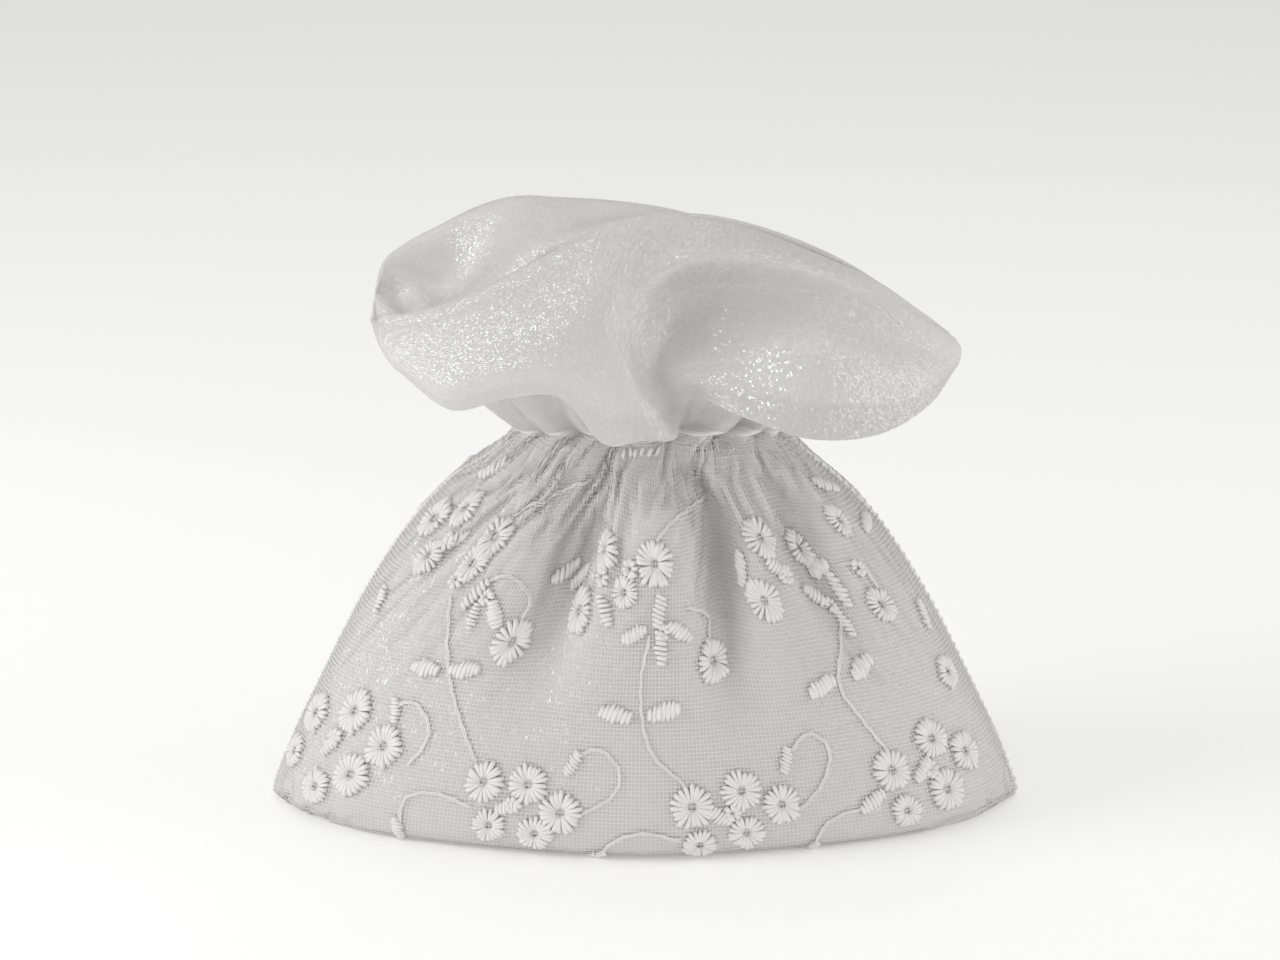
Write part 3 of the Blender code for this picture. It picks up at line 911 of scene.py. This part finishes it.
# leaves: across, up, way they point (degrees), length and width
LEAVES = [
    (-26.5, 34.2, 60, 4.6, 2.6), (-23.5, 31.0, 130, 4.6, 2.4), (-29.6, 42.6, 20, 3.8, 2.4),
    (-27.0, 30.6, 100, 3.6, 2.2), (-34.6, 22.4, 178, 4.8, 2.6), (-28.2, 22.2, 4, 4.8, 2.6),
    (-12.6, 37.6, 25, 4.8, 2.4), (-9.6, 36.8, 40, 4.6, 2.4), (-6.2, 31.6, 120, 4.2, 2.4),
    (2.0, 31.6, 80, 4.4, 2.4), (5.2, 28.4, 150, 4.4, 2.4), (-1.6, 27.8, 20, 4.2, 2.4),
    (2.4, 25.6, 95, 4.6, 2.2), (-4.6, 15.6, 170, 5.0, 2.8), (3.0, 15.8, 8, 5.0, 2.8),
    (15.2, 38.0, 70, 4.8, 2.4), (20.6, 38.2, 140, 4.2, 2.4), (27.6, 38.2, 20, 4.6, 2.4),
    (30.6, 34.6, 90, 4.8, 2.4), (26.4, 33.8, 150, 4.4, 2.4), (31.4, 29.6, 95, 4.2, 2.2),
    (27.8, 19.6, 200, 5.0, 2.8), (34.0, 22.4, 25, 5.0, 2.8), (-50.2, 9.6, 60, 3.8, 2.4),
    (-21.6, 0.6, 20, 3.8, 2.4), (11.6, -0.8, 150, 3.8, 2.4), (44.2, 5.6, 40, 4.0, 2.4),
    (36.0, 1.0, 30, 4.4, 2.4), (28.4, 51.0, 150, 4.4, 2.4), (35.0, 45.2, 20, 4.2, 2.2),
    (-24.0, 53.6, 30, 4.2, 2.2), (44.6, 30.2, 70, 4.2, 2.2), (-42.0, 33.0, 110, 4.0, 2.2),
]
KNOTS = [
    (-29.6, 36.2, 1.5), (-31.0, 42.4, 1.4), (-2.2, 38.0, 1.5), (-6.6, 36.8, 1.4), (22.0, 36.8, 1.5),
    (33.6, 38.2, 1.4), (-49.6, 10.4, 1.5), (-20.6, 0.8, 1.4), (13.6, -0.2, 1.4), (45.4, 6.0, 1.5),
    (-24.8, 33.4, 1.3), (2.6, 28.2, 1.3), (29.4, 32.2, 1.3),
]
# stems and curls: points along each, as seen from the front
STEMS = [
    [(-30.6, 33.5), (-31.2, 26.0), (-30.2, 18.2), (-26.6, 7.7)],
    [(0.6, 27.5), (-0.6, 20.0), (0.8, 10.1), (6.0, 4.2)],
    [(30.8, 30.0), (30.4, 20.6), (34.0, 14.5), (38.6, 8.6)],
    [(-37.6, 7.0), (-34.9, 10.0), (-34.2, 13.6), (-36.6, 16.8), (-39.4, 16.2)],
    [(-10.4, -0.6), (-5.0, 2.6), (-4.1, 6.8), (-7.0, 10.0), (-10.8, 8.6)],
    [(23.6, -0.6), (28.0, 4.2), (28.8, 9.6), (25.6, 12.4), (22.4, 9.0)],
    [(-27.6, 0.4), (-33.0, 2.6), (-37.8, 1.6), (-39.0, -2.4)],
    [(5.4, -4.6), (0.0, -3.4), (-4.6, -4.4), (-7.4, -6.8)],
    [(37.2, -0.4), (32.6, -0.4), (28.6, -2.4), (26.8, -5.4)],
    [(-20.0, 29.6), (-18.2, 33.5), (-21.0, 37.0), (-24.6, 36.0)],
    [(9.8, 27.0), (9.6, 30.6), (6.6, 32.0)],
    [(36.6, 35.0), (34.2, 38.4), (30.6, 38.6)],
    [(1.6, 42.6), (5.2, 46.2), (9.4, 49.6)],
    [(-20.6, 46.4), (-14.6, 49.4), (-8.6, 52.4)],
]
# small gathers side by side just under the neck, and loose ends of thread beside them: across and up
GATHERS = [
    (-3.2, 56.2), (-2.3, 56.6), (-1.2, 56.3), (-0.3, 56.7), (0.7, 56.4), (1.8, 56.5),
]
LOOSE_ENDS = [
    (10.6, 56.4, 1.8, 2.6), (11.8, 56.0, -1.4, 3.0), (12.9, 55.6, 2.4, 1.4), (13.8, 55.8, 0.6, 2.6),
    (-20.0, 57.0, 1.6, 1.8),
]
BUDS = [
    (-39.6, 15.6, 110), (-11.4, 7.6, 60), (22.0, 8.0, 70), (-39.4, -3.4, 100), (-8.0, -7.4, 30),
    (26.4, -6.2, 60),
]


# %% [markdown]
# ## Sewing it on
# A motif's place is turned into a share of the panel's width and height, by looking for the point of
# the cloth that is seen there. Its stitches keep their size on the flat cloth, so they bend with it.

# %% Lay the stitches on the cloth
STEM_STITCH, STEM_OVERLAP, STEM_GAP, STEM_THREAD = 1.3, 0.25, 0.14, 0.15    # mm


def spot(cloth, side, x, up):
    """The share across and up the panel where a point is seen, from that panel's own side."""
    points, normals = cloth
    facing = (normals[..., 1] * side * math.cos(VIEW_RISE) + normals[..., 2] * math.sin(VIEW_RISE))
    height = points[..., 2] * math.cos(VIEW_RISE) - side * points[..., 1] * math.sin(VIEW_RISE)
    away = (points[..., 0] + side * x) ** 2 + (height - up) ** 2
    away = away + np.where(facing > 0.1, 0, 400)      # cloth that faces away is ruled out
    away += 0.02 * (30 - side * points[..., 1])       # of two layers, the outer one is taken
    i, j = np.unravel_index(away.argmin(), away.shape)
    return j / (points.shape[1] - 1), i / (points.shape[0] - 1)


def chain(cloth, side, places):
    """A stem: a double run of short stitches along a smooth line of seen places."""
    shares = np.array([spot(cloth, side, x, up) for x, up in places])
    size = np.array([BAG_FLAT_WIDTH, BAG_FLAT_HEIGHT])
    line = through(shares * size, np.linspace(0, 1, 120))
    line = spaced(line, max(int(lengths(line)[-1] / STEM_STITCH), 3))
    step = unit(np.diff(line, axis=0))
    beside = np.stack([-step[:, 1], step[:, 0]], axis=1)
    sway = np.where(np.arange(len(step)) % 2, 0.1, -0.1)[:, None] * beside
    starts, ends = line[:-1] - step * STEM_OVERLAP + sway, line[1:] + step * STEM_OVERLAP - sway
    runs = [(starts + beside * gap, ends + beside * gap) for gap in (-STEM_GAP, STEM_GAP)]
    return np.concatenate([stitch(low, high, 0.12, STEM_THREAD) for low, high in runs])


# %% Embroider a panel
KNOT_STITCHES = 8
GATHER_SHAPE = 0.38 * np.array([0.4, 0.9, 1, 1, 0.9, 0.4])


def embroider(name, cloth, side):
    size = np.array([BAG_FLAT_WIDTH, BAG_FLAT_HEIGHT])
    sewn = []

    def place(stitches, x, up):
        moved = stitches.copy()
        moved[..., :2] += np.array(spot(cloth, side, x, up)) * size
        sewn.append(moved)

    for places in STEMS:
        sewn.append(chain(cloth, side, places))
    for x, up, degrees, length, width in LEAVES:
        place(turned(leaf(length, width), degrees), x, up)
    for x, up, degrees in BUDS:
        place(turned(leaf(3.6, 2.0), degrees), x, up)
    for x, up, radius in KNOTS:
        place(daisy(radius, KNOT_STITCHES), x, up)
    for x, up, radius in FLOWERS:
        place(daisy(radius), x, up)
    if side == FRONT:
        for x, up in GATHERS:
            place(stitch(np.array([[0.1, -0.6]]), np.array([[-0.1, 0.6]]), 0.2, GATHER_SHAPE), x, up)
        for x, up, over, rise in LOOSE_ENDS:
            loose = np.array([[over, rise], [over * 1.3, rise * 0.6]])
            place(stitch(np.zeros((2, 2)), loose, 0.9, 0.06), x, up)
    sewn = np.concatenate(sewn)
    lines, normals = cloth_at(cloth, sewn[..., 0] / size[0], sewn[..., 1] / size[1], sewn[..., 2])
    print(name, "has", len(sewn), "stitches")
    return threads(name, lines, normals, sewn[..., 3], sides=4, closed=True)


# %% [markdown]
# ## The bag's pieces
# On the bench each side of the bag is a satin panel with an embroidered net panel over it, sewn
# together at the edges. The satin is the settled cloth itself, and the net and stitches lie on it.

# %% Bag pieces
for word, side, bag in (("front", FRONT, front_bag), ("back", BACK, back_bag)):
    lining = sheet_piece("satin_lining_" + word, finer(bag, 2), side, BAG_FLAT_WIDTH, BAG_FLAT_HEIGHT)
    dress(lining, satin, ["lining_" + word])
    cloth = (finer(bag, 3), unit_normals(finer(bag, 3), side))
    mesh_net = net("net_" + word, cloth, BAG_FLAT_WIDTH, BAG_FLAT_HEIGHT)
    dress(mesh_net, cotton, ["outer_net_" + word])
    sewing = embroider("embroidery_" + word, cloth, side)
    dress(sewing, rayon)
    for piece in (lining, mesh_net, sewing):
        moves_with(piece)
        print(piece.name, len(piece.data.polygons), "faces")

# %% [markdown]
# ## The collar's pieces
# Each half of the collar is one organza panel with a narrow hem turned along its rim, held by a row of
# running stitches. It is sewn to the channel, the folded band that the drawcord runs in. The cord is a
# closed loop, made as two halves, one for each side of the mouth.

# %% Collar, hem and channel
ORGANZA_THICK, HEM_THICK, CHANNEL_THICK = 0.35, 0.38, 0.4    # mm
COLLAR_UV, HEM_UV, CHANNEL_UV = 72.0, 4.0, 8.0               # mm of cloth up each piece
HEM_ROWS = 4                                                 # rows of the collar's grid
PUFFS, PUFF_RISE = 14, 0.12                                  # along the channel, and mm


def collar_panel(word, side, collar):
    panel = sheet_piece("organza_collar_" + word, finer(collar, 2), side, CLOTH_WIDTH, COLLAR_UV)
    thicken(panel, ORGANZA_THICK)
    dress(panel, organza, ["collar_" + word])
    return panel


def rim_hem(word, side, collar):
    rim = finer(collar[-HEM_ROWS:], 2)
    band = sheet_piece("rim_hem_" + word + "_fold", rim, side, CLOTH_WIDTH, HEM_UV)
    thicken(band, HEM_THICK)
    dress(band, organza, ["rim_hem_" + word])
    return band


def neck_channel(word, side, bag, collar):
    """The gathered band across the joint of bag and collar, puffed a little between its stitches."""
    neck = np.concatenate([bag[-2:], collar[1:3]])
    heights = dice.uniform(0.0, PUFF_RISE, PUFFS)
    puff = np.interp(np.linspace(0, 1, COLUMNS + 1), np.linspace(0, 1, PUFFS), heights)
    neck = neck + unit_normals(neck, side) * puff[None, :, None]
    channel = sheet_piece("channel_" + word, finer(neck, 2), side, CLOTH_WIDTH, CHANNEL_UV)
    thicken(channel, CHANNEL_THICK)
    dress(channel, satin, ["cord_channel_" + word])
    return channel


# %% Drawcord and rim stitches
CORD_HALF_WIDTH, CORD_HALF_DEPTH, CORD_HEIGHT, CORD_RADIUS = 15.9, 5.6, 64.0, 0.9    # mm
CORD_POINTS = 61
RIM_STITCH, RIM_GAP, RIM_THREAD, RIM_LIFT, RIM_BOW = 0.95, 1.5, 0.10, 0.34, 0.08     # mm


def drawcord_half(word, side):
    turn = np.linspace(-math.pi / 2, math.pi / 2, CORD_POINTS)
    x, y = NECK_CENTRE + CORD_HALF_WIDTH * np.sin(turn), side * CORD_HALF_DEPTH * np.cos(turn)
    loop = np.stack([x, y, np.full(CORD_POINTS, CORD_HEIGHT)], axis=1)[None]
    upright = np.broadcast_to([0, 0, 1.0], loop.shape)
    half = threads("drawcord_" + word, loop, upright, CORD_RADIUS, sides=10)
    dress(half, tape, ["drawcord"])
    return half


def rim_stitches(word, side, collar):
    edge = collar[-HEM_ROWS]
    run = lengths(edge)
    picks = np.arange(0.6, run[-1] - 1.2, RIM_GAP)
    at = picks[:, None] + np.linspace(0, RIM_STITCH, 5)[None]
    share = np.interp(at, run, np.linspace(0, 1, len(edge)))
    by_the_hem = slice(-HEM_ROWS, 2 - HEM_ROWS)
    rim_cloth = (collar[by_the_hem], unit_normals(collar, side)[by_the_hem])
    lift = RIM_LIFT + RIM_BOW * np.sin(np.linspace(0, math.pi, 5))[None] * np.ones_like(share)
    lines, normals = cloth_at(rim_cloth, share, np.full(share.shape, 0.4), lift)
    running = threads("rim_stitches_" + word, lines, normals, RIM_THREAD, sides=4, closed=True)
    dress(running, rayon)
    return running


# %% Collar pieces
sides = (("front", FRONT, front_bag, front_collar), ("back", BACK, back_bag, back_collar))
for cut, (word, side, bag, collar) in zip(collar_flats, sides):
    flounce = collar_panel(word, side, collar)
    band = rim_hem(word, side, collar)
    channel = neck_channel(word, side, bag, collar)
    cord_half = drawcord_half(word, side)
    running = rim_stitches(word, side, collar)
    for piece in (flounce, band, channel, cord_half, running):
        moves_with(piece)
        print(piece.name, len(piece.data.polygons), "faces")

# %% [markdown]
# ## Seams
# The two panels are overcast together: a rolled edge up each side and along the base, with a thread
# wound round it. The seams are hung on a body of their own.

# %% A rolled, overcast seam
SEAM_ROLL = 0.5            # radius of the roll, mm
SEAM_STITCH_GAP = 1.6      # mm
SEAM_THREAD = 0.13         # mm
SEAM_POINTS = 110


def seam(name, line, outward, node_name):
    line, outward = spaced(line, SEAM_POINTS), np.array(outward, float)
    facing = np.broadcast_to(outward, line.shape)
    roll = threads(name, line[None], facing[None], SEAM_ROLL, sides=10)
    dress(roll, tape, [node_name])
    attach(roll, "seams")
    run = lengths(line)
    picks = np.arange(1.0, run[-1] - 1.0, SEAM_STITCH_GAP)
    bend = np.linspace(-1.9, 1.9, 7)
    at = np.stack([np.interp(picks, run, line[:, k]) for k in range(3)], axis=1)
    way = np.gradient(line, axis=0)
    along = unit(np.stack([np.interp(picks, run, way[:, k]) for k in range(3)], axis=1))
    out = unit(outward - along * (along @ outward)[:, None])
    across = np.cross(along, out)
    round_it = np.cos(bend)[None, :, None] * out[:, None] + np.sin(bend)[None, :, None] * across[:, None]
    wound = at[:, None] + round_it * (SEAM_ROLL + 0.08) + along[:, None] * (bend * 0.2)[None, :, None]
    stitches = threads(name + "_stitches", wound, round_it, SEAM_THREAD, sides=4, closed=True)
    dress(stitches, rayon)
    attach(stitches, "seams")
    print(name, "is", round(run[-1]), "mm long with", len(picks), "stitches")


# %% Side and base seams
seam("left_seam_roll", front_bag[1:-2, 0], (-1, 0, 0.15), "side_seam_left")
seam("right_seam_roll", front_bag[1:-2, -1], (1, 0, 0.15), "side_seam_right")
base_line = front_bag[0] * np.array([0.985, 1, 1]) + np.array([0, 0, 0.32])
seam("base_seam_roll", base_line, (0, 0, -1), "bottom_seam")
